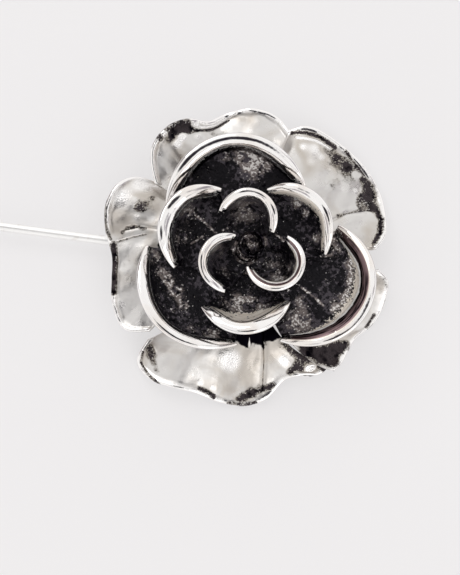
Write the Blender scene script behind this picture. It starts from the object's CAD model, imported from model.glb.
import math

import bpy
import numpy as np
from mathutils import Matrix, Vector


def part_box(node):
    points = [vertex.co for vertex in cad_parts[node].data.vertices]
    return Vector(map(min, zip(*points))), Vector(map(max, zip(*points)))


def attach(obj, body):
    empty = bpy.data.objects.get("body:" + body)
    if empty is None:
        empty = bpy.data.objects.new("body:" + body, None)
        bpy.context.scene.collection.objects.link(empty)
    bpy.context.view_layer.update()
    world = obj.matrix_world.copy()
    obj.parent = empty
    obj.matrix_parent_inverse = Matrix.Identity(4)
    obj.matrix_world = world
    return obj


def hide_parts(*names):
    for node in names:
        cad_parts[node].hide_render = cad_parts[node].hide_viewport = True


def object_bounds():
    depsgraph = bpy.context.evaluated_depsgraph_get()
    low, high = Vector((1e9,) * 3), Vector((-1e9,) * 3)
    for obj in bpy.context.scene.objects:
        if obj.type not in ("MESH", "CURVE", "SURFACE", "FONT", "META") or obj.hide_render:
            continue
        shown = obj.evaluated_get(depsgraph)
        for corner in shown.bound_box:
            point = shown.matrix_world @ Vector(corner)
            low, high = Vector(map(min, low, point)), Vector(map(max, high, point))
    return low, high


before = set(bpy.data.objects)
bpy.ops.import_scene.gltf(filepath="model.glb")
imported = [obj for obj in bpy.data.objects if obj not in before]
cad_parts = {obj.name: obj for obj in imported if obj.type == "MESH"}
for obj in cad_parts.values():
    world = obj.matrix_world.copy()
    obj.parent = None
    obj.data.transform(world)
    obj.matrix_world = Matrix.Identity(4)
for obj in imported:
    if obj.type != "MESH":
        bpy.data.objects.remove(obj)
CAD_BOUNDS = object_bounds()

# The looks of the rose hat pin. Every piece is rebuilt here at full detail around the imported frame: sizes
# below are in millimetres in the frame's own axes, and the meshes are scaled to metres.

MM = 0.001
SMALL = 1e-9
LEAST_RADIUS = 1e-4  # a loop on its axis keeps this radius
X, Y, Z = 0, 1, 2

# ---- driving dimensions, as in the CAD part ----

FLOWER_TURN = 7.6  # the rose is turned this far on the stem, in degrees
BRAZE = 0.05  # the gap at a brazed joint
STEM_RADIUS = 0.65
STEM_TAPER = 5.5  # length of the ground point

# Each whorl's sheet: its thickness, where its feet begin and end, half a foot's width in degrees, and the
# share of the rim's size that is left at a rim's two ends.
WHORLS = {
    "outer": {"metal": 0.75, "toe": 2.6, "heel": 5.8, "half": 29},
    "middle": {"metal": 0.7, "toe": 2.2, "heel": 4.2, "half": 46, "rim_end": 0.3},
    "inner": {"metal": 0.65, "toe": 2.1, "heel": 3.5, "half": 46, "rim_end": 0.3},
    "centre": {"metal": 0.5, "toe": 2.0, "heel": 2.6, "half": 46, "rim_end": 0.65},
}

# Cupped petals: each rim is an arc of outside radius `radius` about a centre `away` from the axis, from
# `start` to `end` degrees about the petal's azimuth. It is `top` high, `drop` lower at its ends, and the
# wall opens out by `flare` below it. Inside it the black, the tan above that and the dark brown above that
# end at shares of the petal from foot to edge, measured from the start of the flare.
CUPPED_KEYS = (
    "whorl", "away", "azimuth", "radius", "start", "end", "top", "drop", "flare", "black", "tan", "brown",
)
CUPPED = {
    "middle_petal_top": ("middle", 6.2, 102, 9.8, 77, -85, 11.0, 2.6, 1.25, 0.06, -0.05, -0.05),
    "middle_petal_left": ("middle", 6.5, 217, 9.7, 77, -67, 10.8, 2.6, 0.95, 0.03, 0.0, 0.0),
    "middle_petal_right": ("middle", 9.4, 333, 8.95, 90, -90, 11.0, 2.8, 1.6, -0.12, 0.03, 0.21),
    "inner_petal_left": ("inner", 5.9, 160, 6.5, 69, -90, 13.4, 2.4, 1.3, 0.04, 0.03, 0.03),
    "inner_petal_right": ("inner", 5.7, 24, 6.35, 91, -56, 13.2, 2.4, 0.85, -0.06, 0.13, 0.13),
    "inner_petal_bottom": ("inner", 5.6, 267, 6.4, 78, -65, 13.2, 2.4, 1.3, -0.21, 0.08, 0.13),
    "centre_petal_top": ("centre", 3.4, 89, 4.06, 76, -119, 15.2, 1.2, 0.58, 0.04, 0.0, 0.0),
    "centre_petal_right": ("centre", 4.4, 326, 4.06, 100, -138, 15.4, 1.2, 0.6, -0.06, 0.07, 0.21),
    "centre_petal_left": ("centre", 3.5, 225, 4.09, 38, -150, 15.2, 1.4, 0.58, 0.02, 0.02, 0.12),
}

# Open petals: the free edge as a smooth curve through [direction in degrees, distance, height]. `sweep` is
# the power by which the sides swing from the foot to that edge, `curl` how far the last of the edge turns
# up, and each crease a pressed line: (width, depth, [[x, y], ...]).
OPEN = {
    "outer_petal_top": dict(foot=105, sweep=0.5, curl=0.5, creases=[], edge=[
        [142, 15.9, 4.8], [132, 19.5, 5.6], [122, 20.6, 6.0], [113, 20.5, 5.0], [106, 19.6, 3.4],
        [98, 20.3, 2.6], [88, 20.8, 3.0], [78, 20.1, 3.0], [70.5, 18.3, 3.4]]),
    "outer_petal_upper_right": dict(foot=37, sweep=0.5, curl=0.6, creases=[
        (0.3, 0.25, [[11.8, 4.8], [13.7, 6.0], [16.9, 6.7]])], edge=[
        [73, 18.9, 1.0], [65, 20.5, 1.4], [53, 20.9, 0.6], [41, 21.1, -0.2], [28, 21.0, -0.6],
        [17, 20.2, 0.4], [9, 19.4, 1.4], [3.5, 17.8, 2.2]]),
    "outer_petal_lower_right": dict(foot=-38, sweep=2, curl=0.35, creases=[], edge=[
        [-5, 18.2, 2.2], [-9, 19.7, 1.4], [-17, 19.9, 0.2], [-26, 19.7, -0.4], [-35, 18.7, 0.2],
        [-42, 18.9, 1.6], [-48, 19.5, 2.8], [-53, 19.7, 3.4]]),
    "outer_petal_bottom": dict(foot=257, sweep=1.5, curl=0.45, creases=[
        (0.3, 0.4, [[2.2, -10.0], [2.3, -14.0], [2.1, -18.2]])], edge=[
        [309, 18.5, 0.2], [302, 18.8, 0.2], [295, 17.8, 0.8], [287, 17.6, 0.6], [278, 19.5, -0.2],
        [269, 20.2, -0.6], [259, 20.1, -0.3], [249, 19.9, 0.8], [240, 20.6, 1.4], [231, 21.3, 0.5],
        [223, 20.6, -0.2], [219, 17.4, 0.2]]),
    "outer_petal_left": dict(foot=180, sweep=0.5, curl=0.4, creases=[
        (0.2, 0.14, [[-11.5, 3.5], [-14.4, 3.9], [-17.1, 3.4]])], edge=[
        [218, 16.8, 3.0], [211, 19.5, 2.6], [201, 19.6, 3.0], [190, 18.7, 3.6], [180, 18.4, 3.8],
        [170, 19.6, 4.0], [160, 20.5, 4.6], [151, 20.3, 4.4], [144, 18.8, 3.2], [138.5, 15.2, 2.4]]),
}

# Where the black has worn through to the metal (more) or lies thickest (less): [x, y, radius, strength].
WORN = {
    "middle_petal_top": [
        [2.1, 12.8, 2.02, 1.1], [5.4, 12.1, 1.48, 1.2], [-0.5, 13.6, 1.08, 0.9], [3.8, 13.9, 1.08, 0.8],
        [-3, 12.9, 1.08, 0.5], [-8, 10.3, 0.67, 1], [7.1, 11.4, 0.67, 1.2], [-10.3, 10.8, 0.67, 0.8],
        [4.5, 10, 1.5, -1.7], [-2.4, 10.8, 1.2, -0.9], [-4.4, 10.2, 1.5, -1.5], [6.0, 10.6, 1.1, -1.4],
        [-6.3, 9.4, 1.3, -1.3], [-5.6, 12.4, 0.9, -0.9], [0.4, 11.6, 1.4, 0.7]
    ],
    "middle_petal_left": [
        [-10.9, -3.9, 0.81, 1.1], [-9.6, -5.4, 0.81, 1.2], [-8.4, -7.1, 0.67, 1.2], [-11.7, -2.5, 0.67, 0.8],
        [-12.8, -0.6, 0.81, 0.9], [-7.6, -10.8, 0.81, 0.4], [-4.7, -11.9, 1.08, 0.9],
        [-10.2, -8.1, 0.67, 0.3], [-6.8, -6.6, 1.08, -0.6]
    ],
    "middle_petal_right": [
        [11.3, 2.1, 0.81, 1.2], [12.9, 3.2, 0.67, 1.2], [12, 0.2, 0.81, 0.7], [13.8, -1.7, 0.67, 0.6],
        [9.7, -8.8, 0.9, -0.9], [7.2, -9.5, 1.5, 1.2], [11.9, -6.6, 0.81, 0.5], [11.2, -10.6, 0.81, 0.5],
        [7.2, -6.7, 0.81, 0.5], [9.5, -3.2, 1.08, -0.5]
    ],
    "inner_petal_left": [
        [-8.2, 4.9, 1.2, 0.6], [-9.0, 1.5, 1.2, 0.4], [-5.6, 8, 0.54, 1], [-4.6, 7.7, 0.54, 0.8],
        [-7.6, -0.2, 1.21, -0.3]
    ],
    "inner_petal_right": [
        [7.1, 6.5, 0.67, 1.3], [8, 5.1, 0.54, 1], [9.5, 1.5, 0.67, 0.7], [5.9, 7.6, 0.67, 0.5],
        [6.4, 3.2, 1.21, -0.5]
    ],
    "inner_petal_bottom": [
        [-1.2, -7.3, 1.21, 1.2], [-3.2, -6.9, 0.67, 0.8], [2, -8.1, 0.81, 0.9], [0.5, -6.5, 0.81, 0.6]
    ],
    "centre_petal_top": [[-0.2, 5.0, 2.2, 0.45]],
    "centre_petal_right": [[4.2, -4.4, 0.94, 1.0], [6.2, -2.9, 0.67, 0.5], [3.6, -1.8, 1.6, 0.3]],
    "centre_petal_left": [[-4.7, 0.1, 1.3, 0.6], [-3.0, -3.0, 1.0, 0.3]],
    "bud": [[-0.3, 0.9, 1.0, 1.0], [0.9, 0.2, 0.8, 0.6]],
}

# Dark residue (more) and burnished places (less) on the open petals: [x, y, radius, strength].
STAINED = {
    "outer_petal_top": [
        [-10.7, 17.0, 0.7, 1.1], [-9.9, 17.6, 0.75, 1.1], [-9.0, 18.0, 0.75, 1.1], [-8.2, 18.1, 0.6, 0.9],
        [-10.4, 15.9, 0.6, 1.3], [-9.6, 16.8, 0.6, 1.0], [-8.6, 17.2, 0.6, 1.4], [-7.6, 17.2, 0.5, 1.4],
        [-11.9, 16.1, 0.4, 1.5], [-11.2, 16.6, 0.3, -1.6], [-8.9, 16.2, 0.5, -1.8], [-9.5, 15.2, 0.7, -1.1],
        [-7.2, 18.1, 0.4, -1.4], [-6.9, 16.4, 0.6, -0.6], [0.5, 18.6, 1.2, -0.2], [4.3, 18.2, 0.7, 0.3],
        [-3, 17.2, 1.1, 0.3], [-11.9, 13.8, 0.8, -0.5], [-4.6, 16.9, 0.8, 0.3]
    ],
    "outer_petal_upper_right": [
        [10.7, 15.3, 0.6, 0.7], [11.8, 14.6, 0.7, 0.8], [12.8, 13.9, 0.8, 0.9], [13.8, 13.2, 0.9, 1.0],
        [14.8, 12.6, 0.8, 1.1], [12.0, 13.2, 0.8, 0.6], [13.6, 12.2, 0.8, 0.6], [10.3, 14.0, 0.6, -0.6],
        [16.1, 11.2, 0.45, 1.3], [16.8, 10.3, 0.85, 1.5], [17.2, 9.0, 0.9, 1.5], [16.0, 8.4, 0.8, 1.1],
        [17.1, 7.4, 0.8, 1.4], [15.6, 7.4, 0.6, 0.8], [12.2, 10.4, 1.4, 0.3], [14.3, 11.0, 0.8, 0.3],
        [15.6, 4.2, 1.6, 0.12], [11.4, 12.3, 0.5, -0.5], [7.8, 15.4, 0.6, -0.7], [14.9, 9.4, 0.6, -0.7],
        [9.3, 15.1, 1.0, -0.8], [8.8, 13.2, 0.9, -0.5], [13.2, 9.6, 0.7, -0.5], [14.9, 12.1, 0.5, -0.8]
    ],
    "outer_petal_left": [
        [-14.7, 6.4, 0.6, 1.1], [-14.9, 7.2, 1.1, 0.4], [-13.4, 6.9, 0.9, 0.4], [-13.0, 7.9, 0.4, 0.7],
        [-17.3, 8.0, 1.6, -0.9], [-14.6, 10.0, 1.5, -1.0], [-12.4, 9.6, 1.0, -0.6], [-14.9, 5.3, 0.6, -0.6],
        [-16.2, -0.8, 1.2, 0.2], [-17, -6.6, 0.81, -0.6], [-14.5, -9.4, 0.94, -0.5]
    ],
    "outer_petal_lower_right": [
        [10, -13.8, 0.94, 2], [11.9, -13, 0.85, 2], [8.1, -13, 0.7, 1.7], [11.4, -14.5, 0.61, 1.7],
        [13.3, -12.2, 0.61, 1.5], [18.6, -3.6, 1.5, 0.3]
    ],
    "outer_petal_bottom": [
        [-13.1, -12.3, 0.55, 1], [-12.9, -13.2, 0.65, 1.2], [-12.6, -14.3, 0.5, 0.8],
        [-12.2, -15.3, 0.45, 0.5], [-0.5, -19.1, 0.54, 1], [0.7, -18.4, 0.67, 1.1], [2.1, -17.8, 0.54, 1],
        [3.3, -17.5, 0.47, 0.9], [7.2, -12.9, 0.67, 1.3], [8.4, -13.7, 0.7, 1.3], [6.6, -14.9, 0.5, 1.5],
        [5.9, -15.5, 0.45, 1.6], [7.3, -15.0, 0.45, 1.1], [9.9, -14.8, 0.4, 1.6], [10.7, -15.2, 0.45, 1.8],
        [-2.3, -14.1, 1.5, -1.1], [5.1, -14.1, 0.8, -1], [8.5, -15.0, 0.55, -1.8], [-6.4, -17.0, 0.5, -0.8],
        [-4.7, -17.7, 0.5, -0.8]
    ],
}

# The same along drawn paths, for every petal: (width, strength, [[x, y], ...]).
STROKES = {
    "outer_petal_top": [
        (0.22, 1.1, [[-7.0, 17.1], [-5.7, 17.4], [-4.3, 18.0], [-2.5, 19.0]]),
        (0.19, -1, [[-6.5, 17.7], [-4.6, 18.3], [-2.8, 19.4], [-1.5, 20.1]])
    ],
    "outer_petal_upper_right": [
        (0.34, 1.7, [[6.4, 17.6], [8.2, 17.6], [10.0, 17.1], [12.1, 15.9]]),
        (0.2, -1.4, [[7.0, 16.8], [9.6, 16.4], [11.4, 15.4]]),
        (0.18, 0.9, [[13.8, 15.4], [15.6, 12.9], [17.0, 10.9]]),
        (0.2, 1.0, [[12.3, 5.6], [14.0, 6.2], [15.4, 6.6], [17.3, 6.6]]),
        (0.42, 1.7, [[17.9, 7.0], [18.6, 5.2], [18.4, 3.6], [17.6, 2.0]])
    ],
    "outer_petal_left": [
        (0.2, 0.8, [[-18.7, 9.2], [-19.3, 7.2], [-19.5, 5.6], [-19.2, 3.6], [-18.7, 2.2]]),
        (0.42, 1.8, [[-18.2, 1.4], [-18.2, -0.4], [-18.2, -2.6], [-18.2, -4.9]]),
        (0.16, 0.6, [[-17.6, 1.9], [-15.9, 2.4], [-13.8, 2.9]]),
        (0.26, 1.0, [[-17.0, 3.2], [-16.3, 3.8], [-15.3, 4.0], [-13.9, 3.7]])
    ],
    "outer_petal_bottom": [
        (0.17, 0.8, [[-14.2, -12.8], [-14.5, -14.2], [-13.5, -16], [-11.9, -17.4]]),
        (0.3, 1.7, [[-6.5, -17.9], [-5.4, -18.3], [-4.6, -18.9]]),
        (0.19, 0.9, [[-2.6, -19.7], [-0.2, -20], [1.3, -19.6]]),
        (0.35, 1, [[-1.2, -19.1], [0.7, -18.3], [2.2, -17.9], [3.6, -17.4]]),
        (0.12, -0.35, [[0.3, -10.3], [0.3, -12.3]]), (0.12, -0.35, [[2.5, -9.8], [2.5, -11.9]]),
        (1.0, 0.75, [[5.3, -11.8], [6.9, -13.4], [8.2, -14.6]]),
        (0.3, 0.9, [[6.0, -12.0], [7.7, -13.2], [9.8, -14.5], [11.6, -15.3]]),
        (0.4, -1.6, [[8.3, -15.1], [9.1, -14.8]])
    ],
    "outer_petal_lower_right": [
        (0.2, 1.5, [[17.5, -7.6], [17.0, -8.4], [16.4, -9.3]]),
        (0.12, 0.3, [[19.1, -5.4], [18.2, -7.9], [15.4, -11.0]]),
        (0.75, 2.2, [[8.1, -13.0], [10.3, -13.4], [12.3, -12.6]]),
        (0.55, 2.2, [[10.6, -13.7], [11.8, -14.4]])
    ],
    "inner_petal_left": [
        (0.17, 1.6, [[-7.1, 4.9], [-5.8, 4], [-4.1, 2.4]]), (0.13, 1.2, [[-7.6, 0.9], [-5.9, 2.1]]),
        (0.15, 1, [[-3.3, 2.8], [-1.9, 3.6]])
    ],
    "middle_petal_right": [
        (0.17, 1.2, [[7.4, -4.8], [9, -6], [10.3, -7.4]]), (0.13, 1.1, [[9.8, -0.6], [11.6, -0.4]]),
        (0.22, -0.8, [[7.9, -4.2], [10.1, -6.3]]),
        (0.5, 1.4, [[14.7, 0.7], [14.6, -1.6], [13.7, -5.4], [13.0, -6.7], [11.7, -8.1]])
    ],
    "inner_petal_right": [(0.15, 1.2, [[3.9, 2.3], [5.5, 1.1]])],
    "middle_petal_left": [(0.45, 0.9, [[-11.7, -3.1], [-10.1, -5.1], [-8.7, -6.9]])],
    "centre_petal_right": [(0.19, 1.3, [[-1, -3.7], [0, -5]])],
}

# A petal as shares from its foot to its edge: a flat foot, a wall, and on cupped petals a flare and a roll.
FOOT_END = 0.12
WALL_END = 0.6
FLARE_END = 0.84
CUP_WALL = {"flat": 0.5, "lean": 0.98, "rise": 0.42}
OPEN_WALL = {"flat": 0.35, "lean": 0.75, "rise": 0.6}
FLARE_RISE = 0.9  # a flare's height, as a share of its width
ROLL_TURN = 65  # how far the rim rolls over, in degrees
ROLL = 0.6  # the roll's radius, as a share of the metal
THINNEST = 0.5  # the metal at a rim's ends, as a share of the whorl's
BORDER_LEFT = 0.08  # the metal left at a rounded border, as a share
CUP_DENTS = 0.16  # how far a cupped wall swells in and out
OPEN_DENTS, OPEN_HAMMERING = 0.2, 0.06  # the same on an open petal, in large and in small dents
FINE_SEED = 50  # added to a petal's seed for its small dents
CUP_LINES = {"around": 150, "wall": 56, "flare": 32, "roll": 12}
OPEN_LINES = {"around": 210, "foot": 6, "wall": 96}

# ---- small helpers ----


def lerp(a, b, t):
    return a + (b - a) * t


def smooth(value, low, high):
    """0 below low, 1 above high, and an S-curve between."""
    t = np.clip((value - low) / (high - low), 0, 1)
    return t * t * (3 - 2 * t)


def polar(degrees, distance, z):
    """Points at a direction, a distance from the axis and a height."""
    angle, distance, z = np.broadcast_arrays(np.radians(degrees), distance, z)
    return np.stack([distance * np.cos(angle), distance * np.sin(angle), z], axis=-1)


def ripple(points, size, seed):
    """Smooth irregular waves of about `size` mm, from about -1 to 1."""
    rng = np.random.default_rng(seed)
    waves, gain = 7, 1.6
    total = 0
    for _ in range(waves):
        direction = rng.normal(size=3)
        direction /= np.linalg.norm(direction)
        phase = rng.uniform(0, 2 * np.pi)
        turns = 2 * np.pi / size * rng.uniform(0.6, 1.5)
        total = total + np.sin(points @ direction * turns + phase)
    return total / waves * gain


def patches(points, table):
    """The sum of soft round patches at the points' x and y."""
    total = np.zeros(points.shape[:-1])
    for x, y, radius, strength in table:
        square = (points[..., 0] - x) ** 2 + (points[..., 1] - y) ** 2
        total += strength * np.exp(-square / radius**2)
    return total


def path_distance(points, path):
    """Distance in plan from the points to a line through the path's [x, y] corners."""
    nearest = np.full(points.shape[:-1], np.inf)
    for start, end in zip(path, path[1:]):
        start, run = np.array(start), np.array(end) - np.array(start)
        share = np.clip(((points[..., :2] - start) @ run) / (run @ run), 0, 1)
        offset = points[..., :2] - start - share[..., None] * run
        nearest = np.minimum(nearest, np.linalg.norm(offset, axis=-1))
    return nearest


def strokes(points, name):
    """The sum of the petal's soft strokes at the points' x and y."""
    total = np.zeros(points.shape[:-1])
    for width, strength, path in STROKES.get(name, []):
        total += strength * np.exp(-((path_distance(points, path) / width) ** 2))
    return total


def node_low(node, axis):
    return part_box(node)[0][axis] / MM


def node_high(node, axis):
    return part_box(node)[1][axis] / MM


def node_top(node):
    return node_high(node, Z)


# ---- mesh building ----


def make_object(name, vertices, faces, attributes=None, turn=0.0):
    """A smooth-shaded mesh from millimetre points, turned about Z by `turn` degrees."""
    points = np.asarray(vertices, float) * MM
    mesh = bpy.data.meshes.new(name)
    mesh.from_pydata(points.tolist(), [], [list(map(int, f)) for f in faces])
    mesh.transform(Matrix.Rotation(math.radians(turn), 4, "Z"))
    for key, values in (attributes or {}).items():
        layer = mesh.attributes.new(key, "FLOAT", "POINT")
        layer.data.foreach_set("value", np.asarray(values, np.float32).ravel())
    mesh.polygons.foreach_set("use_smooth", [True] * len(mesh.polygons))
    mesh.update()
    obj = bpy.data.objects.new(name, mesh)
    bpy.context.scene.collection.objects.link(obj)
    return obj


def signed_volume(points, quads):
    """Six times the volume inside closed quads; negative when they face inwards."""
    a, b, c, d = (points[quads[:, k]] for k in range(4))
    first = np.einsum("ij,ij->i", a, np.cross(b, c))
    second = np.einsum("ij,ij->i", a, np.cross(c, d))
    return float((first + second).sum())


def sheet_object(name, mid, metal, attributes):
    """A closed sheet of metal about the mid-surface `mid`, a grid of points, `metal` mm thick. Its free
    borders are rounded over, and it turns with the rose. An attribute is one grid for both sides, or a
    grid for the side that faces the flower's axis and a grid for the other."""
    along = np.gradient(mid, axis=0)
    up = np.gradient(mid, axis=1)
    normal = np.cross(along, up)
    normal /= np.linalg.norm(normal, axis=-1, keepdims=True) + SMALL
    rows, columns = mid.shape[:2]

    def inset(axis, backwards):
        """Each point's distance along the sheet from one of its borders."""
        steps = np.linalg.norm(np.diff(mid, axis=axis), axis=-1)
        if backwards:
            steps = np.flip(steps, axis)
        run = np.cumsum(steps, axis)
        zero = np.zeros_like(np.take(run, [0], axis))
        run = np.concatenate([zero, run], axis)
        return np.flip(run, axis) if backwards else run

    border = np.minimum(np.minimum(inset(0, False), inset(0, True)), inset(1, True))
    radius = metal / 2
    depth = 1 - np.clip(border / radius, 0, 1)
    thickness = metal * np.maximum(np.sqrt(1 - depth**2), BORDER_LEFT)
    front = mid + normal * thickness[..., None] / 2
    back = mid - normal * thickness[..., None] / 2
    points = np.concatenate([front.reshape(-1, 3), back.reshape(-1, 3)])

    index = np.arange(rows * columns).reshape(rows, columns)
    other = index + rows * columns

    def faces(*corners):
        return np.stack(corners, -1).reshape(-1, 4)

    quads = np.concatenate([
        faces(index[:-1, :-1], index[1:, :-1], index[1:, 1:], index[:-1, 1:]),
        faces(other[:-1, :-1], other[:-1, 1:], other[1:, 1:], other[1:, :-1]),
        faces(index[:-1, 0], other[:-1, 0], other[1:, 0], index[1:, 0]),
        faces(index[:-1, -1], index[1:, -1], other[1:, -1], other[:-1, -1]),
        faces(index[0, :-1], index[0, 1:], other[0, 1:], other[0, :-1]),
        faces(index[-1, :-1], other[-1, :-1], other[-1, 1:], index[-1, 1:]),
    ])
    if signed_volume(points, quads) < 0:
        quads = quads[:, ::-1]
    doubled = {}
    for key, value in attributes.items():
        sides = value if isinstance(value, tuple) else (value, value)
        doubled[key] = np.concatenate([np.broadcast_to(side, (rows, columns)).ravel() for side in sides])
    return make_object(name, points, quads, doubled, FLOWER_TURN)


def border_lines(low, high, count, length, both=True):
    """Grid lines from low to high, crowded where a border of a sheet `length` mm long is rounded over."""
    insets = np.array([0, 0.02, 0.06, 0.12, 0.2, 0.3]) * (high - low) / length
    middle = np.linspace(low + (insets[-1] if both else 0), high - insets[-1], count)
    ends = [high - insets[-2::-1]]
    starts = [low + insets[:-1]] if both else []
    return np.concatenate(starts + [middle] + ends)


def loft(name, loops, cyclic=False, attributes=None):
    """A surface through equal closed loops of points; it closes on itself, or ends in two flat caps."""
    loops = np.asarray(loops, float)
    count, around = loops.shape[:2]
    index = np.arange(count * around).reshape(count, around)
    beside = np.roll(index, -1, axis=1)
    quads = np.stack([index, beside, np.roll(beside, -1, axis=0), np.roll(index, -1, axis=0)], -1)
    quads = quads[:count if cyclic else count - 1].reshape(-1, 4)
    points = loops.reshape(-1, 3)
    faces = quads.tolist()
    if not cyclic:
        faces += [index[0, ::-1].tolist(), index[-1].tolist()]
    if signed_volume(points - points.mean(0), quads) < 0:
        faces = [f[::-1] for f in faces]
    return make_object(name, points, faces, attributes)


def rounded(profile, radius, closed=False, steps=5):
    """The [r, z] profile with its corners rounded."""
    points = [np.array(p, float) for p in profile]
    count = len(points)
    out = []
    for i, corner in enumerate(points):
        if not closed and i in (0, count - 1):
            out.append(corner)
            continue
        before, after = points[i - 1], points[(i + 1) % count]
        to_before, to_after = before - corner, after - corner
        reach = min(radius, 0.45 * np.linalg.norm(to_before), 0.45 * np.linalg.norm(to_after))
        start = corner + to_before / (np.linalg.norm(to_before) + SMALL) * reach
        end = corner + to_after / (np.linalg.norm(to_after) + SMALL) * reach
        for t in np.linspace(0, 1, steps):
            out.append((1 - t) ** 2 * start + 2 * t * (1 - t) * corner + t * t * end)
    return np.array(out)


def turned_loops(profile, around=96):
    """Loops about +Z through the [r, z] profile."""
    angles = np.linspace(0, 360, around, endpoint=False)
    return np.array([polar(angles, max(r, LEAST_RADIUS), z) for r, z in profile])


def stem_axis():
    return (node_low("pin_stem", Z) + node_top("pin_stem")) / 2


def on_stem(name, profile, x, around=96, cyclic=False):
    """A piece turned about the stem's axis: the [r, z] profile's Z runs along -X from x."""
    loops = turned_loops(profile, around)
    laid = np.stack([x - loops[..., 2], loops[..., 1], stem_axis() + loops[..., 0]], -1)
    return loft(name, laid, cyclic=cyclic)


# ---- node trees for the looks ----


class Nodes:
    """A tree of procedural nodes on one set of coordinates."""

    def __init__(self, owner, coordinates):
        owner.use_nodes = True
        self.nodes, self.links = owner.node_tree.nodes, owner.node_tree.links
        self.place = self.nodes.new("ShaderNodeTexCoord").outputs[coordinates]

    def wire(self, source, socket):
        if hasattr(source, "node"):
            self.links.new(source, socket)
        else:
            socket.default_value = source

    def fill(self, node, **values):
        """Sets or wires the node's inputs by name."""
        for key, value in values.items():
            self.wire(value, node.inputs[key.replace("_", " ")])

    def noise(self, size_mm, detail=2.0, vector=None, distortion=0.0):
        node = self.nodes.new("ShaderNodeTexNoise")
        place = vector or self.place
        self.fill(node, Scale=1 / (size_mm * MM), Detail=detail, Distortion=distortion, Vector=place)
        return node.outputs["Fac"]

    def ramp(self, value, low, high, start=0.0, end=1.0):
        """An S-curve from start to end as the value goes from low to high."""
        node = self.nodes.new("ShaderNodeMapRange")
        node.interpolation_type = "SMOOTHSTEP"
        self.fill(node, Value=value, From_Min=low, From_Max=high, To_Min=start, To_Max=end)
        return node.outputs["Result"]

    def operate(self, operation, a, b, clamp=False):
        node = self.nodes.new("ShaderNodeMath")
        node.operation = operation
        node.use_clamp = clamp
        self.wire(a, node.inputs[0])
        self.wire(b, node.inputs[1])
        return node.outputs["Value"]

    def plus(self, a, b):
        return self.operate("ADD", a, b)

    def minus(self, a, b, clamp=False):
        return self.operate("SUBTRACT", a, b, clamp)

    def times(self, a, b, clamp=False):
        return self.operate("MULTIPLY", a, b, clamp)

    def most(self, a, b):
        return self.operate("MAXIMUM", a, b)

    def swing(self, value, reach):
        """The value's swing about its middle, 0.5, times reach."""
        return self.times(self.minus(value, 0.5), reach)

    def mix(self, share, a, b, kind="RGBA"):
        node = self.nodes.new("ShaderNodeMix")
        node.data_type = kind
        self.fill(node, Factor=share, A=a, B=b)
        return node.outputs["Result"]

    def blend(self, share, a, b):
        """The mix of two numbers."""
        return self.mix(share, a, b, "FLOAT")


class Shader(Nodes):
    """A Principled material in object space."""

    def __init__(self, name):
        self.material = bpy.data.materials.new(name)
        super().__init__(self.material, "Object")

    def set(self, **sockets):
        self.fill(self.nodes["Principled BSDF"], **sockets)

    def attribute(self, name):
        node = self.nodes.new("ShaderNodeAttribute")
        node.attribute_name = name
        return node.outputs["Fac"]

    def stretched(self, factors):
        """Object coordinates scaled by factors, for grain that runs one way."""
        node = self.nodes.new("ShaderNodeMapping")
        self.fill(node, Scale=factors, Vector=self.place)
        return node.outputs["Vector"]

    def petal_noise(self, detail, across, along):
        """Noise on a petal's own two directions, with so many grains in a unit of each."""
        node = self.nodes.new("ShaderNodeCombineXYZ")
        self.wire(self.times(self.attribute("across"), across), node.inputs["X"])
        self.wire(self.times(self.attribute("along"), along), node.inputs["Y"])
        return self.noise(1 / MM, detail, node.outputs["Vector"])

    def bump(self, height, depth_mm, after=None):
        node = self.nodes.new("ShaderNodeBump")
        self.fill(node, Strength=1.0, Distance=depth_mm * MM, Height=height)
        if after is not None:
            self.links.new(after, node.inputs["Normal"])
        return node.outputs["Normal"]


# Colours as red, green, blue and 1 for opaque.
SILVER = (0.90, 0.885, 0.875, 1)
WARM_SILVER = (0.84, 0.80, 0.765, 1)
PALE_TAN = (0.96, 0.90, 0.82, 1)
TAN = (0.76, 0.68, 0.59, 1)
SOLDER = (0.98, 0.96, 0.93, 1)
DARK_BROWN = (0.21, 0.145, 0.15, 1)
CAST_SILVER = (0.67, 0.655, 0.64, 1)
CAST_WARM = (0.54, 0.50, 0.455, 1)
SMOKE = (0.17, 0.15, 0.125, 1)
WORN_GREY = (0.80, 0.77, 0.75, 1)
WORN_BROWN = (0.20, 0.17, 0.16, 1)
DULL_BLACK = (0.064, 0.056, 0.066, 1)
BLACK_SHEEN = (0.50, 0.49, 0.52, 1)  # less glare than plain metal has off steep black walls
SOOT = (0.047, 0.039, 0.042, 1)
BLACKENED = (0.002, 0.0015, 0.003, 1)


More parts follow.
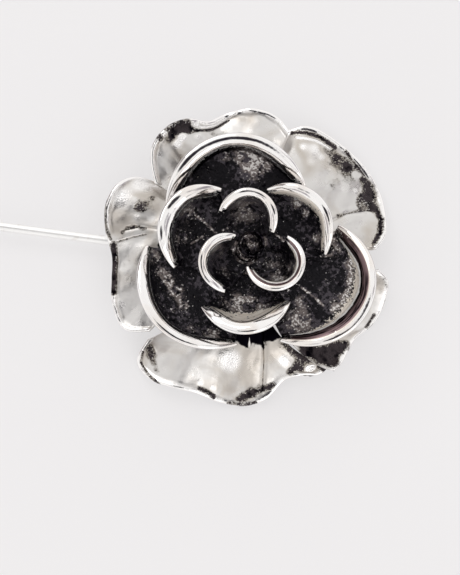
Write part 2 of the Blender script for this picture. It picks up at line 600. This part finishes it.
def antiqued_plate(name):
    """Polished silver-coloured plate: tan and then brown with the browned attribute, with a line of solder
    along the seam, black where it is antique, and rubbed back to flecks of bare metal where it is worn."""
    s = Shader(name)
    worn, antique, browned = map(s.attribute, ("worn", "antique", "browned"))
    grain = s.noise(0.3, 5)
    clouds = s.noise(1.2, 5)
    fringe = s.times(s.swing(grain, 1.6), s.ramp(antique, 0.02, 0.3))
    ragged = s.plus(s.swing(s.noise(0.6, 6), 1.1), fringe)
    mask = s.ramp(s.plus(antique, ragged), 0.42, 0.56)
    verge = s.times(s.times(mask, s.minus(1.0, mask)), 3.2, clamp=True)
    rubbed = s.times(worn, s.ramp(clouds, 0.33, 0.6))
    fleck = s.ramp(s.plus(grain, s.times(rubbed, 0.20)), 0.665, 0.735)
    shade = s.plus(s.noise(0.5, 4), s.swing(s.noise(3.2, 2), 0.7))
    shade = s.plus(shade, s.times(worn, 0.12))
    dark = s.mix(s.ramp(shade, 0.51, 0.62), BLACKENED, DULL_BLACK)
    brown = s.mix(s.ramp(s.plus(rubbed, s.times(grain, 0.8)), 0.5, 1.0), dark, WORN_BROWN)
    recess = s.mix(fleck, brown, WORN_GREY)
    silver = s.mix(s.ramp(s.noise(4.0, 1), 0.42, 0.66), SILVER, WARM_SILVER)
    patchy = s.times(browned, s.ramp(s.noise(0.8, 4), 0.2, 0.45))
    tinged = s.ramp(patchy, 0.05, 0.45)
    glossy = s.ramp(browned, 0.5, 0.85)
    streaks = s.ramp(s.petal_noise(3, across=0.2, along=45.0), 0.4, 0.62)
    bronze = s.mix(glossy, s.mix(streaks, TAN, PALE_TAN), s.mix(streaks, DARK_BROWN, BLACKENED))
    bronzed = s.mix(s.minus(tinged, verge, clamp=True), silver, bronze)
    seam = s.ramp(s.plus(s.attribute("seam"), s.swing(clouds, 1.2)), 0.4, 0.7)
    bright = s.mix(seam, bronzed, SOLDER)
    dull = s.most(s.minus(tinged, glossy, clamp=True), seam)
    polish = s.blend(tinged, s.ramp(s.noise(1.8, 2), 0.3, 0.7, 0.07, 0.13), 0.32)
    polish = s.blend(s.ramp(antique, 0.05, 0.4), polish, 0.4)
    roughness = s.blend(mask, polish, s.blend(fleck, 0.30, 0.2))
    lumps = s.bump(s.noise(1.5, 2), 0.035)
    cast = s.bump(s.times(clouds, mask), 0.22, after=lumps)
    pitted = s.bump(s.times(grain, mask), 0.13, after=cast)
    s.set(Base_Color=s.mix(mask, bright, recess), Metallic=s.blend(dull, 1.0, 0.3))
    s.set(Roughness=roughness, Normal=pitted, Specular_Tint=BLACK_SHEEN)
    return s.material


def hammered_plate(name):
    """Bright plate over a finely hammered casting: the edge is polished, veins run out from the foot, and
    black stays in the root, in the creases and where the stained attribute is high."""
    s = Shader(name)
    stained, polished = map(s.attribute, ("stained", "polished"))
    ragged = s.swing(s.noise(1.7, 6), 1.7)
    mask = s.ramp(s.plus(s.attribute("antique"), ragged), 0.42, 0.6)
    grain = s.noise(0.22, 5)
    clouds = s.noise(0.9, 5)
    uneven = s.swing(clouds, 2.4)
    smoke = s.ramp(s.plus(stained, s.times(uneven, 0.35)), 0.12, 0.6, 0.0, 0.95)
    smoke = s.times(smoke, s.ramp(grain, 0.32, 0.52, 0.35, 1.0))
    broken = s.plus(s.swing(grain, 3.2), s.plus(stained, uneven))
    residue = s.times(s.ramp(broken, 0.7, 0.86), s.ramp(stained, 0.05, 0.35))
    tone = s.ramp(s.noise(5.0, 3, distortion=0.6), 0.38, 0.68)
    burnished = s.ramp(s.times(stained, -1.0), 0.1, 0.9)
    shiny = s.most(polished, burnished)
    cast = s.mix(shiny, s.mix(tone, CAST_SILVER, CAST_WARM), SILVER)
    soot = s.mix(s.ramp(s.noise(1.3, 3), 0.32, 0.54), BLACKENED, SOOT)
    base = s.mix(mask, s.mix(residue, s.mix(smoke, cast, SMOKE), soot), BLACKENED)
    soft = s.ramp(s.noise(2.2, 3), 0.3, 0.7, 0.25, 0.40)
    roughness = s.blend(mask, s.blend(shiny, soft, 0.08), 0.3)
    folds = s.bump(s.noise(2.8, 2), 0.08)
    veined = s.bump(s.petal_noise(2, across=24.0, along=2.0), 0.012, after=folds)
    hammer = s.bump(s.noise(0.6, 4), 0.032, after=veined)
    pitted = s.most(s.ramp(stained, 0.1, 0.8), s.times(burnished, 0.6))
    pits = s.bump(s.times(pitted, grain), 0.14, after=hammer)
    s.set(Base_Color=base, Metallic=1.0, Roughness=roughness, Normal=pits)
    return s.material


def marked_metal(name, mark_mm, stretch, patch, tones, roughness, depth_mm):
    """Metal with fine marks drawn out one way, and soft patches of a second tone."""
    s = Shader(name)
    marks = s.noise(mark_mm, 2, s.stretched(stretch))
    size_mm, detail, low, high = patch
    base = s.mix(s.ramp(s.noise(size_mm, detail), low, high), *tones)
    s.set(Base_Color=base, Metallic=1.0, Roughness=s.ramp(marks, 0.3, 0.7, *roughness))
    s.set(Normal=s.bump(marks, depth_mm))
    return s.material


def satin_plate(name):
    """Plate on a turned or filed surface, with tool marks along X."""
    tones = (SILVER, WARM_SILVER)
    return marked_metal(name, 0.12, (0.08, 1.0, 1.0), (3.0, 3, 0.4, 0.65), tones, (0.18, 0.34), 0.006)


def drawn_wire(name):
    """Polished wire: faint lines along its length and a few handling marks."""
    tones = ((0.93, 0.925, 0.915, 1), (0.84, 0.82, 0.80, 1))
    return marked_metal(name, 0.09, (0.01, 1.0, 1.0), (1.4, 4, 0.6, 0.72), tones, (0.34, 0.44), 0.004)


def turned_plate(name):
    """Polished turned metal: rings of fine tool marks about the stem's axis."""
    tones = (SILVER, WARM_SILVER)
    return marked_metal(name, 0.1, (1.0, 0.02, 0.02), (2.5, 3, 0.42, 0.68), tones, (0.08, 0.18), 0.005)


def moulded_nylon(name):
    s = Shader(name)
    base = s.mix(s.noise(1.2, 2), (0.78, 0.76, 0.70, 1), (0.70, 0.675, 0.61, 1))
    s.set(Base_Color=base, Metallic=0.0, Roughness=s.ramp(s.noise(0.5, 2), 0.3, 0.7, 0.42, 0.6))
    s.set(Normal=s.bump(s.noise(0.15, 2), 0.008))
    s.set(Subsurface_Weight=0.25, Subsurface_Radius=(1.0 * MM, 0.8 * MM, 0.6 * MM))
    return s.material


# ---- the petals ----


def wall_share(t, flat, lean, rise):
    """Share of the way out and up along a wall that leaves its foot flat."""
    one = 3 * (1 - t) ** 2 * t
    two = 3 * (1 - t) * t**2
    return one * flat + two * lean + t**3, two * rise + t**3


def foot_height(whorl):
    return node_top(f"{whorl}_disc") + BRAZE + WHORLS[whorl]["metal"] / 2


def cup_mid_surface(petal, seed, u, v):
    """The mid-surface and the metal's thickness at grid lines u and v."""
    whorl = WHORLS[petal["whorl"]]
    u, v = u[:, None], v[None, :]
    fullness = lerp(whorl["rim_end"], 1, (1 - u**4) ** 0.6)
    metal = whorl["metal"] * np.maximum(fullness, THINNEST) + 0 * v
    flare = petal["flare"] * fullness * (1 + 0.12 * np.sin(5 * u + seed))
    roll = ROLL * metal
    foot_direction = petal["azimuth"] - u * whorl["half"]
    direction = petal["azimuth"] + lerp(petal["start"], petal["end"], (u + 1) / 2)
    out = polar(direction, 1.0, 0.0)
    centre = polar(np.array(petal["azimuth"]), petal["away"], 0.0)
    reach = flare + (roll[:, :1] + metal[:, :1] / 2) * math.sin(math.radians(ROLL_TURN))
    wall_top = centre + out * (petal["radius"] - reach)[..., None]
    height = petal["top"] - petal["drop"] * np.abs(u) ** 3 - FLARE_RISE * flare - metal[:, :1] / 2
    height = height + 0.1 * np.sin(7 * u + 1.7 * seed) * (1 - u**2)
    wall_top[..., 2] = height
    z = foot_height(petal["whorl"])
    foot = polar(foot_direction, lerp(whorl["toe"], whorl["heel"], v / FOOT_END), z)
    heel = polar(foot_direction, whorl["heel"], z)
    t = np.clip((v - FOOT_END) / (WALL_END - FOOT_END), 0, 1)
    share_out, share_up = wall_share(t, **CUP_WALL)
    wall = np.stack([
        lerp(heel[..., 0], wall_top[..., 0], share_out),
        lerp(heel[..., 1], wall_top[..., 1], share_out),
        lerp(heel[..., 2], wall_top[..., 2], share_up),
    ], -1)
    flare_turn = math.radians(90) * np.clip((v - WALL_END) / (FLARE_END - WALL_END), 0, 1)
    roll_turn = math.radians(ROLL_TURN) * np.clip((v - FLARE_END) / (1 - FLARE_END), 0, 1)
    rim_out = flare * (1 - np.cos(flare_turn)) + roll * np.sin(roll_turn)
    rim_up = FLARE_RISE * flare * np.sin(flare_turn) - roll * (1 - np.cos(roll_turn))
    rim = wall_top + out * rim_out[..., None]
    rim[..., 2] += rim_up
    mid = np.where((v < FOOT_END)[..., None], foot, np.where((v < WALL_END)[..., None], wall, rim))
    swell = np.sin(np.pi * t) ** 2 * CUP_DENTS
    bulge = ripple(mid, 5.0, seed) + 0.5 * ripple(mid, 2.2, seed + FINE_SEED)
    mid = mid - out * (swell * bulge)[..., None] * (v < WALL_END)[..., None]
    return mid, metal


def cupped_petal(name, petal, seed):
    rim_length = math.radians(abs(petal["end"] - petal["start"])) * petal["radius"]
    roll_length = 0.8
    u = border_lines(-1, 1, CUP_LINES["around"], rim_length)
    wall = np.linspace(0, WALL_END, CUP_LINES["wall"], endpoint=False)
    flare = np.linspace(WALL_END, FLARE_END, CUP_LINES["flare"], endpoint=False)
    roll = border_lines(FLARE_END, 1, CUP_LINES["roll"], roll_length, both=False)
    v = np.concatenate([wall, flare, roll])
    mid, metal = cup_mid_surface(petal, seed, u, v)
    grid_u, grid_v = np.meshgrid(u, v, indexing="ij")
    black_end, tan_end, brown_end = (WALL_END + petal[key] for key in ("black", "tan", "brown"))
    bare = lerp(WALL_END, black_end, 1 - grid_u**2)
    inside = 1 - smooth(grid_v, bare - 0.05, bare + 0.08)
    tan = 1 - smooth(grid_v, tan_end - 0.02, tan_end + 0.02)
    brown = smooth(grid_v, tan_end, tan_end + 0.02) * (1 - smooth(grid_v, brown_end - 0.03, brown_end + 0.01))
    seam = np.exp(-(((grid_v - tan_end - 0.025) / 0.03) ** 2)) * (brown_end > tan_end + 0.06)
    ends = 0.65 * smooth(np.abs(grid_u), 0.84, 0.96) * (1 - smooth(grid_v, FLARE_END - 0.08, FLARE_END))
    outside = np.maximum(0.75 * (1 - smooth(grid_v, 0.25, 0.45)), ends)
    worn = 1.25 * patches(mid, WORN[name]) + 0.8 * strokes(mid, name)
    attributes = {
        "antique": (np.clip(inside + ends, 0, 1), outside),
        "browned": (np.clip(0.5 * tan + brown, 0, 1), 0 * outside),
        "seam": (seam, 0 * outside),
        "worn": (np.clip(worn, -1.2, 1.15), 0 * outside),
        "across": grid_u * rim_length / 2,
        "along": grid_v,
    }
    return sheet_object(f"{name}_formed", mid, metal, attributes)


def catmull_rom(points, t):
    """The smooth curve through the points at t from 0 to 1, with straight-line end handles."""
    p = np.asarray(points, float)
    p = np.concatenate([[2 * p[0] - p[1]], p, [2 * p[-1] - p[-2]]])
    spans = len(p) - 3
    place = np.clip(t, 0, 1) * spans
    k = np.minimum(place.astype(int), spans - 1)
    w = (place - k)[:, None]
    p0, p1, p2, p3 = p[k], p[k + 1], p[k + 2], p[k + 3]
    m1, m2 = 0.5 * (p2 - p0), 0.5 * (p3 - p1)
    return (
        (2 * w**3 - 3 * w**2 + 1) * p1
        + (w**3 - 2 * w**2 + w) * m1
        + (-2 * w**3 + 3 * w**2) * p2
        + (w**3 - w**2) * m2
    )


def open_petal(name, petal, seed):
    whorl = WHORLS["outer"]
    edge_length, wall_length = 24.0, 15.0
    u = border_lines(-1, 1, OPEN_LINES["around"], edge_length)
    foot = np.linspace(0, FOOT_END, OPEN_LINES["foot"], endpoint=False)
    wall = border_lines(FOOT_END, 1, OPEN_LINES["wall"], wall_length, both=False)
    v = np.concatenate([foot, wall])
    rim = catmull_rom(petal["edge"], (u + 1) / 2)
    grid_u, grid_v = np.meshgrid(u, v, indexing="ij")
    z = foot_height("outer")
    foot_direction = petal["foot"] - grid_u * whorl["half"]
    reach = np.clip((grid_v - FOOT_END) / (1 - FOOT_END), 0, 1)
    share_out, share_up = wall_share(reach, **OPEN_WALL)
    direction = lerp(foot_direction, rim[:, None, 0], reach ** petal["sweep"])
    distance = lerp(whorl["heel"], rim[:, None, 1], share_out)
    height = lerp(z, rim[:, None, 2], share_up)
    toe = grid_v < FOOT_END
    direction = np.where(toe, foot_direction, direction)
    distance = np.where(toe, lerp(whorl["toe"], whorl["heel"], grid_v / FOOT_END), distance)
    height = np.where(toe, z, height)
    free = smooth(distance, whorl["heel"] + 1.0, 15.0)
    flat = polar(direction, distance, 0.0)
    hammering = OPEN_HAMMERING * ripple(flat, 2.5, seed + FINE_SEED)
    height = height + free * (OPEN_DENTS * ripple(flat, 6.0, seed) + hammering)
    to_edge = rim[:, None, 1] - distance
    height = height + petal["curl"] * smooth(-to_edge, -1.5, 0.1) ** 1.5
    groove = np.zeros_like(height)
    for width, depth, path in petal["creases"]:
        pressed = np.exp(-((path_distance(flat, path) / width) ** 2))
        height = height - depth * pressed
        groove = np.maximum(groove, pressed * smooth(depth, 0.15, 0.4))
    mid = polar(direction, distance, 0.0)
    mid[..., 2] = height
    lines = strokes(mid, name)
    stained = np.clip(patches(mid, STAINED[name]) + lines, -1.2, 1.8)
    root = 1 - smooth(distance, 10.9, 13.2)
    back_root = 1 - smooth(distance, 8, 11)
    back_edge = 0.55 * smooth(grid_v, 0.96, 0.995)
    attributes = {
        "antique": (root + 1.1 * groove + np.minimum(lines, 0), np.maximum(back_root, back_edge)),
        "stained": (stained, 0 * stained),
        "polished": smooth(grid_v, 0.94, 0.975),
        "across": grid_u,
        "along": grid_v,
    }
    metal = np.full(mid.shape[:2], whorl["metal"])
    return sheet_object(f"{name}_formed", mid, metal, attributes)


# ---- the heart and the back ----


def blackened(loops):
    """Attributes of a piece that is black all over."""
    count = loops.shape[0] * loops.shape[1]
    values = {"antique": 1.0, "browned": 0.0, "seam": 0.0, "worn": 0.5, "across": 0.0, "along": 0.0}
    return {key: np.full(count, value) for key, value in values.items()}


def bud_heart():
    """The rolled bud: its upper end is wound, so that the strip's edge shows as a spiral."""
    low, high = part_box("bud")
    middle = (low + high) / 2 / MM
    width = (high.x - low.x) / 2 / MM
    bottom, top = low.z / MM, high.z / MM
    crown, winds, step = 1.2, 1.6, 0.42  # the dome's height, the strip's turns and how far its edge stands up
    foot = 0.75  # the width at the foot, as a share
    angles = np.linspace(0, 360, 180, endpoint=False)
    loops = []
    for t in np.linspace(0, 1, 14, endpoint=False):
        loops.append(polar(angles, width * lerp(foot, 1.0, t), lerp(bottom, top - crown, t)))
    for t in np.linspace(0, 0.99, 60):
        wound = (angles / 360 + winds * t) % 1
        ridge = smooth(wound, 0.0, 0.8) * (1 - smooth(wound, 0.86, 1.0))
        dip = step * (1 - ridge) * smooth(t, 0.0, 0.15) * (1 - smooth(t, 0.85, 1.0))
        loops.append(polar(angles, width * (1 - t), top - crown * (1 - t) ** 2.2 - dip))
    loops = np.array(loops)
    loops[..., 0] += middle.x
    loops[..., 1] += middle.y
    attributes = blackened(loops)
    attributes["worn"] = 0.8 * patches(loops, WORN["bud"]).ravel()
    return loft("bud_folded", loops, attributes=attributes)


def centre_rivet():
    """The rivet that holds the four discs, with a peened upper head."""
    bottom, top, pad_top = node_low("centre_rivet", Z), node_top("centre_rivet"), node_top("back_pad")
    head = node_top("centre_disc") + BRAZE
    wide, shank, corner = 1.6, 1.0, 0.12
    profile = rounded([
        (0.0, bottom), (wide, bottom), (wide, pad_top), (shank, pad_top), (shank, head), (wide, head),
        (1.45, head + 0.42), (0.96, top), (0.0, top),
    ], corner)
    loops = turned_loops(profile, 72)
    return loft("centre_rivet_peened", loops, attributes=blackened(loops))


def washer(node, hole):
    """A disc with rounded edges and a hole."""
    low, high, radius, corner = node_low(node, Z), node_top(node), node_high(node, X), 0.16
    if node != "back_pad":  # the discs turn with the rose, so no corner of theirs is on the X axis
        radius = radius / math.cos(math.radians(FLOWER_TURN))
    profile = rounded([(hole, low), (radius, low), (radius, high), (hole, high)], corner, closed=True)
    loops = turned_loops(profile)
    return loft(f"{node}_turned", loops, cyclic=True, attributes=blackened(loops))


def saddle_block():
    """The bored block behind the rose, with its edges broken."""
    x0, x1 = node_low("stem_saddle", X), node_high("stem_saddle", X)
    half, top, axis = node_high("stem_saddle", Y), node_top("stem_saddle"), stem_axis()
    bore, bevel, around = 0.72, 0.18, 96
    power = 7.0  # how square the block's section is
    side_margin, bore_margin = 0.6, 0.4  # from an end to the first of the rings between the ends
    angles = np.radians(np.linspace(0, 360, around, endpoint=False))
    reach_y, reach_z = np.cos(angles), np.sin(angles)
    up = np.where(reach_z > 0, top - axis, axis)
    size = (np.abs(reach_y / half) ** power + np.abs(reach_z / up) ** power) ** (-1 / power)

    def section(reach):
        return np.stack([reach_y * reach, axis + reach_z * reach], -1)

    def at(x, outline):
        return np.concatenate([np.full((around, 1), x), outline], 1)

    def end(x, inward):
        """The rings of one end, from the bore out to the side."""
        rows = [(0.0, inner), (0.0, inset), (0.05, lerp(inset, outer, 0.7)), (bevel, outer)]
        return [at(x + inward * step, outline) for step, outline in rows]

    inner, inset, outer = section(bore), section(size - bevel), section(size)
    loops = end(x0, 1)
    loops += [at(x, outer) for x in np.linspace(x0 + side_margin, x1 - side_margin, 12)]
    loops += reversed(end(x1, -1))
    loops += [at(x, inner) for x in np.linspace(x1 - bore_margin, x0 + bore_margin, 12)]
    return loft("stem_saddle_filed", loops, cyclic=True)


def pin_stem():
    """The wire, with a chamfered butt and a ground point."""
    butt = node_high("pin_stem", X)
    length = butt - node_low("pin_stem", X)
    shoulder = length - STEM_TAPER
    chamfer, tip, ogive = 0.12, 0.03, 1.7
    profile = [(0.0, 0.0), (STEM_RADIUS - chamfer, 0.0), (STEM_RADIUS, chamfer)]
    profile += [(STEM_RADIUS, z) for z in np.linspace(1.0, shoulder, 60)]
    for t in np.linspace(0.04, 1, 24):
        profile.append((STEM_RADIUS * (1 - t**ogive) + tip * t, shoulder + STEM_TAPER * t))
    profile.append((0.0, length))
    return on_stem("pin_stem_drawn", profile, butt, 48)


def solder_fillet():
    """The solder run where the stem leaves the saddle."""
    size, sunk, gap = 0.5, 0.02, 0.01
    profile = []
    for a in np.radians(np.linspace(0, 90, 9)):
        profile.append((STEM_RADIUS + size * (1 - math.sin(a)), size * (1 - math.cos(a))))
    profile += [(STEM_RADIUS - sunk, size), (STEM_RADIUS - sunk, 0.0)]
    return on_stem("stem_solder_fillet", profile, node_low("stem_saddle", X) - gap, 64, cyclic=True)


# ---- the clutch ----


def clutch_size(node):
    """Where a clutch piece's mouth is along X, and its length and radius."""
    mouth = node_high(node, X)
    return mouth, mouth - node_low(node, X), node_high(node, Y)


def clutch_barrel():
    mouth, length, radius = clutch_size("clutch_barrel")
    wall, hole, lip, chamfer, corner = 0.5, 1.0, 0.6, 0.3, 0.12
    grooves, pitch, width, depth = 4, 1.5, 0.5, 0.25
    outside = []
    for i in range(grooves):
        at = length / 2 + (i - (grooves - 1) / 2) * pitch
        outside += [(radius, at - width / 2), (radius - depth, at - width / 5),
                    (radius - depth, at + width / 5), (radius, at + width / 2)]
    profile = [(hole, 0.0), (radius - chamfer, 0.0), (radius, chamfer), *outside, (radius, length),
               (radius - wall, length), (radius - wall, lip), (hole, lip)]
    return on_stem("clutch_barrel_turned", rounded(profile, corner, closed=True), mouth, cyclic=True)


def clutch_grip():
    mouth, length, radius = clutch_size("clutch_grip")
    hole, corner = 0.71, 0.15
    profile = rounded([(hole, 0.0), (radius, 0.0), (radius, length), (hole, length)], corner, closed=True)
    return on_stem("clutch_grip_moulded", profile, mouth, cyclic=True)


def clutch_cap():
    face, tip, inner = node_low("clutch_barrel", X), node_low("clutch_cap", X), node_high("clutch_cap", X)
    radius, spigot = node_high("clutch_cap", Y), node_high("clutch_grip", Y)
    chamfer, band = 0.1, BRAZE + 0.3
    profile = [(0.0, face - inner), (spigot, face - inner), (spigot, BRAZE), (radius - chamfer, BRAZE),
               (radius, BRAZE + chamfer), (radius, band)]
    dome = face - tip - band
    for a in np.radians(np.linspace(5, 88, 20)):
        profile.append((radius * math.cos(a), band + dome * math.sin(a)))
    profile.append((0.0, band + dome))
    return on_stem("clutch_cap_turned", profile, face)


# ---- putting the pin together ----

# One material for each slot.
MATERIALS = {
    "bright_plate": hammered_plate("bright_hammered_plate"),
    "darkened_plate": antiqued_plate("antiqued_plate"),
    "back_plate": satin_plate("satin_back_plate"),
    "stem_steel": drawn_wire("polished_wire"),
    "clutch_plate": turned_plate("turned_clutch_plate"),
    "grip_nylon": moulded_nylon("moulded_nylon"),
}


def place(obj, body, slot, *nodes):
    """Gives a piece its body, its slot with that slot's material, and the CAD nodes that it stands for."""
    obj.data.materials.append(MATERIALS[slot])
    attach(obj, body)
    if nodes:
        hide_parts(*nodes)


def build_pin():
    for seed, (name, petal) in enumerate(OPEN.items(), start=1):
        place(open_petal(name, petal, seed), "rose_pin", "bright_plate", name)
    for seed, (name, row) in enumerate(CUPPED.items(), start=11):
        petal = dict(zip(CUPPED_KEYS, row))
        place(cupped_petal(name, petal, seed), "rose_pin", "darkened_plate", name)
    place(bud_heart(), "rose_pin", "darkened_plate", "bud")
    place(centre_rivet(), "rose_pin", "darkened_plate", "centre_rivet")
    for node in [f"{whorl}_disc" for whorl in WHORLS]:
        place(washer(node, hole=1.15), "rose_pin", "darkened_plate", node)
    place(washer("back_pad", hole=1.9), "rose_pin", "back_plate", "back_pad")
    place(saddle_block(), "rose_pin", "back_plate", "stem_saddle")
    place(pin_stem(), "rose_pin", "stem_steel", "pin_stem")
    place(solder_fillet(), "rose_pin", "back_plate")
    place(clutch_barrel(), "clutch", "clutch_plate", "clutch_barrel")
    place(clutch_grip(), "clutch", "grip_nylon", "clutch_grip")
    place(clutch_cap(), "clutch", "clutch_plate", "clutch_cap")


# ---- floor, light and camera ----

TILT = math.radians(82)  # the camera's height above the horizon
TO_CAMERA = Vector((0, -math.cos(TILT), math.sin(TILT)))  # in the rose's own turned axes
VIEW_DISTANCE = 250 * MM
VIEW_AIM = (-2.278, -3.795, 0.0)  # what the camera looks at, in mm, in the same axes
VIEW_LENS = 113.07


def floor():
    low = CAD_BOUNDS[0][2]
    bpy.ops.mesh.primitive_grid_add(x_subdivisions=8, y_subdivisions=8, size=6, location=(0, 0, low))
    ground = bpy.context.object
    ground.name = "studio_floor"
    s = Shader("pale_floor")
    tone = s.mix(s.noise(60.0, 1), (0.31, 0.305, 0.306, 1), (0.30, 0.295, 0.297, 1))
    s.set(Base_Color=tone, Roughness=0.7, Specular_IOR_Level=0.2)
    s.set(Emission_Color=(1.0, 0.985, 0.99, 1), Emission_Strength=0.555)  # keeps it pale and even
    ground.data.materials.append(s.material)


def sky():
    """A studio dome: grey and white panels, white low down, and dark round the lens straight above."""
    world = bpy.data.worlds.new("studio_dome")
    bpy.context.scene.world = world
    s = Nodes(world, "Generated")
    metre = 1 / MM

    def towards(aim, low, high, wobble):
        """0 away from the aim and 1 towards it, between two cosines, with a wobbling border."""
        dot = s.nodes.new("ShaderNodeVectorMath")
        dot.operation = "DOT_PRODUCT"
        s.wire(s.place, dot.inputs[0])
        s.wire(Vector(aim).normalized(), dot.inputs[1])
        return s.ramp(s.plus(dot.outputs["Value"], s.swing(s.noise(metre / 2.4, 3), wobble)), low, high)

    panel = s.ramp(s.noise(metre / 1.7, 2, distortion=0.5), 0.345, 0.45)
    dome = s.mix(panel, (0.35, 0.32, 0.35, 1), (1.03, 1.02, 1.01, 1))
    for share, shade in (
        (towards((-0.1, 0.1, 1), 0.80, 0.93, 0.25), (1.0, 0.99, 0.985, 1)),
        (towards((0, 0, -1), -0.36, -0.2, 0.1), (1.15, 1.14, 1.13, 1)),
        (towards((-0.80, 0.55, 0.22), 0.90, 0.97, 0.1), (0.24, 0.20, 0.19, 1)),
        (towards(TO_CAMERA, 0.958, 0.978, 0.03), (0.03, 0.026, 0.034, 1)),
    ):
        dome = s.mix(share, dome, shade)
    s.fill(s.nodes["Background"], Color=dome, Strength=1.0)


def softbox(name, azimuth, elevation, distance, size, watts):
    data = bpy.data.lights.new(name, "AREA")
    data.shape = "SQUARE"
    data.size = size
    data.energy = watts
    light = bpy.data.objects.new(name, data)
    rise = math.radians(elevation)
    light.location = polar(azimuth, distance * math.cos(rise), distance * math.sin(rise))
    light.rotation_euler = (-light.location).to_track_quat("-Z", "Y").to_euler()
    bpy.context.scene.collection.objects.link(light)


def camera():
    up = Vector((0, math.sin(TILT), math.cos(TILT)))
    facing = Matrix((Vector((1, 0, 0)), up, TO_CAMERA)).transposed().to_4x4()
    moved = Matrix.Translation(Vector(VIEW_AIM) * MM + VIEW_DISTANCE * TO_CAMERA)
    turned = Matrix.Rotation(math.radians(FLOWER_TURN), 4, "Z")
    data = bpy.data.cameras.new("photo_view")
    data.lens = VIEW_LENS
    data.sensor_width = 36
    data.clip_start = 0.01
    data.clip_end = 20
    view = bpy.data.objects.new("photo_view", data)
    view.matrix_world = turned @ moved @ facing
    bpy.context.scene.collection.objects.link(view)
    bpy.context.scene.camera = view


camera()
build_pin()
floor()
sky()
softbox("key_softbox", azimuth=130, elevation=48, distance=0.6, size=0.28, watts=0.38)
softbox("fill_softbox", azimuth=-50, elevation=40, distance=0.6, size=0.3, watts=0.25)
bpy.context.scene.view_settings.view_transform = "Standard"
